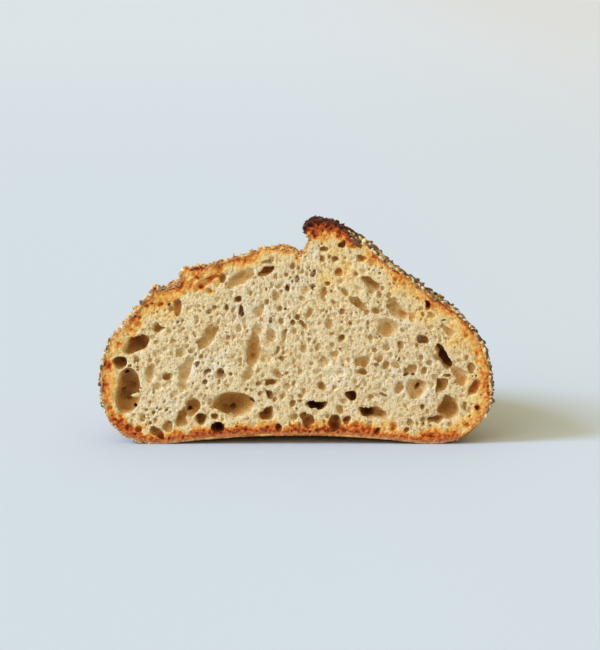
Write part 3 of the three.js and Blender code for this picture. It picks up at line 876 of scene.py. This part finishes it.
def seed_material(name, dark, light, roughness):
    """A seed's skin: its own tone for each seed, with a fine grain."""
    material, tree, place = new_material(name)
    grain = use(MOTTLE, place, 0.8, 2.0)
    tone = plus(times(attribute(tree, "tone"), 0.7), times(grain, 0.3))
    return finish(material, blend(tone, dark, light),
                  spread(grain, 0, 1, roughness, roughness + 0.15), bump(grain, 0.0001, 0.5))


def inclusion_material():
    """Seeds and bran from nearly black to cream, by the tone stored for each."""
    material, tree, place = new_material("inclusions")
    grain = use(MOTTLE, place, 0.6, 2.0)
    tone = plus(attribute(tree, "tone"), times(grain, 0.12))
    colour = ramp(tone, (0.0, (44, 34, 22)), (0.25, (86, 54, 34)), (0.5, (142, 102, 64)),
                  (0.7, (176, 140, 96)), (1.0, (244, 222, 160)))
    return finish(material, colour, spread(grain, 0, 1, 0.6, 0.8), bump(grain, 0.0001))


def floor_material():
    """Pale blue, with painted light: a little greyer far off and warmer on the right."""
    material, _, place = new_material("floor")
    x, y, _ = axes_of(place)
    grain = use(MOTTLE, place, 1.5, 1.0)
    colour = coats(blend(grain, (202, 213, 229), (206, 217, 233)),
                   # Painted light: a paler tone far off and a warmer grey on the right.
                   (spread(y, 200, 5000), (212, 220, 236)),
                   (spread(x, -100, 900, 0, 0.8), (214, 214, 218)))
    return finish(material, colour, spread(grain, 0, 1, 0.9, 1.0), bump(grain, 0.00005),
                  shine=0.1)


# ---- seeds

SEED_TRIES = 30  # places tried for each seed
IN_FRONT = 0.6  # how far seeds stand out in front of the cut at most


def seed_shape(length, width, thickness, point, sides=7):
    """One seed as points and faces: an egg, drawn out to a point at one end."""
    bm = bmesh.new()
    bmesh.ops.create_uvsphere(bm, u_segments=sides, v_segments=4, radius=1)
    bmesh.ops.triangulate(bm, faces=bm.faces)
    points = np.array([v.co[:] for v in bm.verts])
    faces = np.array([[v.index for v in f.verts] for f in bm.faces])
    bm.free()
    points = points[:, (2, 0, 1)]
    narrow = 1 - point * np.maximum(0, points[:, 0]) ** 2
    points[:, 1:] *= narrow[:, None]
    return points * (length / 2, width / 2, thickness / 2), faces


def scatter(places, normals, shape, draw, sink, tilt, size_range, lumpiness):
    """Copies a shape onto places, each turned and sized by chance, sunk into the surface."""
    points, faces = shape
    count = len(places)
    normals = normals + draw.normal(0, tilt, normals.shape)
    normals /= lengths(normals)
    along = draw.normal(size=normals.shape)
    along -= np.einsum("ij,ij->i", along, normals)[:, None] * normals
    along /= lengths(along)
    across = np.cross(normals, along)
    size = draw.uniform(*size_range, count)
    axes = np.stack([along, across, normals], 1) * size[:, None, None]
    lift = points[:, 2].max() * (1 - 2 * sink) * size
    uneven = 1 + lumpiness * draw.normal(size=(count, len(points), 3))
    copies = np.einsum("npk,nkj->npj", points * uneven, axes)
    copies += (places + normals * lift[:, None])[:, None, :]
    all_faces = faces[None] + (np.arange(count) * len(points))[:, None, None]
    tone = np.repeat(draw.random(count), len(points))
    return copies.reshape(-1, 3), all_faces.reshape(-1, 3), tone


def seed_places(count, gap, density, draw, edge_share):
    """Places on the crust that a density allows, no two closer than a gap.

    A share of the places is tried at the cut's edge, where the camera sees them best.
    """
    rounds = draw.uniform(0, BOTTOM_START, count * SEED_TRIES)
    backs = draw.uniform(0, 0.985, count * SEED_TRIES)
    at_edge = draw.random(len(backs)) < edge_share
    backs = np.where(at_edge, draw.uniform(0.0, 0.02, len(backs)), backs)
    points, normals = crust(rounds, backs)
    area = np.linalg.norm(facing(rounds, backs), axis=1)
    wanted = density(rounds, backs, points) * np.where(at_edge, 1, area / area.max())
    chance = draw.random(len(rounds)) < wanted
    kept = []
    cells = {}
    for index in np.flatnonzero(chance):
        place = points[index]
        i, j, k = (place // gap).astype(int)
        near = [cells.get((i + a, j + b, k + c))
                for a in (-1, 0, 1) for b in (-1, 0, 1) for c in (-1, 0, 1)]
        if all(n is None or np.linalg.norm(points[n] - place) > gap for n in near):
            cells[i, j, k] = index
            kept.append(index)
        if len(kept) == count:
            break
    return points[kept], normals[kept]


def seeded_side(rounds, backs, points):
    """Where seeds stuck: thick on the right, thinner on the left, none in the open score."""
    open_score = (between(rounds, share(-3), share(11.4), 0.02)
                  * (1 - smoothstep(backs, *SCORE_FADE)))
    high = smoothstep(points[:, 2], 10, 30)
    patchy = 0.6 + 0.5 * soft_noise(*points.T, 14, 90)
    return np.clip(np.where(points[:, 0] > 0, 1, 0.35) * high * patchy, 0, 1) * (1 - open_score)


def linseed_side(rounds, backs, points):
    """The same for linseed, which is mostly on the right."""
    return seeded_side(rounds, backs, points) * np.where(points[:, 0] < 20, 0.35, 1)


def crumbly(rounds, backs, points):
    """Where crumbs of crust lie: most in the open score and on the left, none on the ear."""
    amount = 0.2 + score_mask(rounds, backs) + (points[:, 0] < -20)
    return (1 - ear_mask(rounds, backs)) * np.clip(amount, 0, 1)


def on_ear(rounds, backs, _):
    return ear_mask(rounds, backs)


def cereal_side(rounds, backs, points):
    """Where cracked cereal stuck: high on the left, and a little in the score."""
    left = (points[:, 0] < -25) * (points[:, 2] > 30)
    return np.clip(left * 0.7 + 0.25 * score_mask(rounds, backs), 0, 1)


def make_seeds(name, material, shape, count, gap, density, seed, sink=0.3, tilt=0.5,
               size_range=(0.85, 1.15), lumpiness=0.0, edge_share=0.1):
    """One joined mesh of a kind of seed, flake or crumb, scattered over the crust."""
    draw = np.random.default_rng(seed)
    places, normals = seed_places(count, gap, density, draw, edge_share)
    points, faces, tone = scatter(places, normals, shape, draw, sink, tilt, size_range, lumpiness)
    points[:, 1] = np.maximum(points[:, 1], CUT_Y - IN_FRONT)
    points[:, 2] = np.clip(points[:, 2], 0.05, HIGHEST)
    piece_from_arrays(name, points, faces, material, tone=tone)


def make_inclusions(count, material, seed):
    """Seeds and bran that the knife cut through: placed ones, then random ones."""
    draw = np.random.default_rng(seed)
    points, faces = seed_shape(1, 1, 0.8, 0.2)
    placed = list(INCLUSIONS)
    while count:
        x, z = draw.uniform(-HALF_WIDTH, HALF_WIDTH), draw.uniform(0, TOP)
        if look_up(CUT_SECTION, x, z) < -5 and look_up(FIELD[:, CUT_LAYER], x, z) < -0.25:
            length = draw.uniform(0.5, 1.4)
            placed.append((x, z, length, length * draw.uniform(0.5, 0.95),
                           draw.uniform(0, 180), draw.uniform(0.15, 0.7)))
            count -= 1
    copies = []
    for x, z, length, width, slope, _ in placed:
        angle = math.radians(slope)
        along = np.array((math.cos(angle), 0, math.sin(angle))) * length
        across = np.array((-math.sin(angle), 0, math.cos(angle))) * width
        uneven = points * (1 + 0.22 * draw.normal(size=points.shape))
        copies.append(uneven[:, :1] * along + uneven[:, 1:2] * across
                      + uneven[:, 2:] * (0, -0.8 * width, 0) + (x, CUT_Y + 0.15 * width, z))
    all_faces = np.concatenate([faces + k * len(points) for k in range(len(placed))])
    piece_from_arrays("inclusions", np.concatenate(copies), all_faces, material,
                      tone=np.repeat([p[5] for p in placed], len(points)))


# ---- floor, lights and camera

FLOOR_RADIUS = 14  # metres
CAMERA_ELEVATION = 9
CAMERA_DISTANCE = 1.1  # metres
CAMERA_TARGET = (2.07, CUT_Y, 55.8)
CAMERA_LENS = 132.7
WINDOW_TINT, FRONT_TINT, SKY_TINT = (0.566, 0.716, 1.0), (0.98, 0.97, 0.92), (1.0, 0.98, 0.9)
ROOM_TINT = (0.545, 0.468, 0.238, 1)  # the light that the room throws back
BACKDROP = (220, 227, 230)  # what the camera sees past the floor


def make_stage():
    bm = bmesh.new()
    bmesh.ops.create_circle(bm, cap_ends=True, segments=96, radius=FLOOR_RADIUS)
    mesh = bpy.data.meshes.new("floor")
    bm.to_mesh(mesh)
    bm.free()
    mesh.materials.append(floor_material())
    floor = add_object("floor", mesh)


def add_sun(name, azimuth, elevation, softness, strength, colour):
    """A distant light. Azimuth 0 is straight from the left, and 90 from behind the camera."""
    data = bpy.data.lights.new(name, "SUN")
    data.angle = math.radians(softness)
    data.energy = strength
    data.color = colour
    side, high = math.radians(azimuth), math.radians(elevation)
    towards = Vector((math.cos(side) * math.cos(high), math.sin(side) * math.cos(high),
                      -math.sin(high)))
    add_object(name, data).rotation_euler = towards.to_track_quat("-Z", "Y").to_euler()


def light_scene():
    add_sun("window", 18, 35, 22, 2.72, WINDOW_TINT)
    add_sun("front", 52, 30, 45, 0.95, FRONT_TINT)
    add_sun("skylight", -90, 55, 80, 0.45, SKY_TINT)
    world = bpy.data.worlds.new("world")
    world.use_nodes = True
    tree = world.node_tree
    tree.nodes.clear()
    lit, seen = (add("ShaderNodeBackground", {"Color": colour, "Strength": 1.0}, tree).outputs[0]
                 for colour in (ROOM_TINT, srgb(*BACKDROP)))
    to_camera = add("ShaderNodeLightPath", {}, tree).outputs["Is Camera Ray"]
    mixed = add("ShaderNodeMixShader", {0: to_camera, 1: lit, 2: seen}).outputs[0]
    add("ShaderNodeOutputWorld", {"Surface": mixed})
    bpy.context.scene.world = world


def make_camera():
    elevation = math.radians(CAMERA_ELEVATION)
    back = Vector((0, -math.cos(elevation), math.sin(elevation)))
    data = bpy.data.cameras.new("camera")
    data.sensor_width = 36
    data.lens = CAMERA_LENS
    data.clip_end = 100
    camera = add_object("camera", data)
    camera.location = Vector(CAMERA_TARGET) * MM + back * CAMERA_DISTANCE
    camera.rotation_euler = (math.pi / 2 - elevation, 0, 0)
    bpy.context.scene.camera = camera


# ---- the scene

bpy.context.scene.view_settings.view_transform = "Standard"
make_camera()
light_scene()
make_stage()
make_crust(crust_material())
make_crumb(crumb_material())
make_inclusions(70, inclusion_material(), 110)
make_seeds("linseed", seed_material("linseed", (52, 26, 12), (142, 94, 56), 0.35),
           seed_shape(5, 2.6, 1.5, 0.6), 470, 2.1, linseed_side, 101,
           sink=0.2, tilt=0.45, edge_share=0.15)
make_seeds("sesame", seed_material("sesame", (206, 168, 112), (250, 232, 192), 0.5),
           seed_shape(3.1, 2.2, 1.4, 0.4), 800, 1.7, seeded_side, 102, edge_share=0.3)
make_seeds("husks", seed_material("husk", (104, 78, 46), (186, 158, 108), 0.6),
           seed_shape(3.6, 2.4, 1.2, 0.3), 330, 2.0, seeded_side, 104,
           tilt=0.6, lumpiness=0.12, edge_share=0.2)
make_seeds("crust_crumbs", seed_material("crust_crumbs", (176, 96, 36), (246, 210, 146), 0.8),
           seed_shape(1.5, 1.2, 1.0, 0.0, 6), 1500, 0.9, crumbly, 103,
           tilt=0.7, size_range=(0.3, 1.6), lumpiness=0.35, edge_share=0.25)
make_seeds("flakes", seed_material("flakes", (34, 14, 8), (128, 64, 34), 0.7),
           seed_shape(3.2, 2.0, 0.5, 0.2, 6), 700, 0.7, on_ear, 105,
           sink=0.35, tilt=0.4, size_range=(0.4, 1.1), lumpiness=0.22, edge_share=0.45)
make_seeds("cereal", seed_material("cereal", (150, 76, 30), (240, 196, 124), 0.7),
           seed_shape(3.4, 2.4, 0.6, 0.1, 6), 260, 1.6, cereal_side, 106,
           sink=0.2, tilt=0.7, size_range=(0.5, 1.2), lumpiness=0.2, edge_share=0.4)
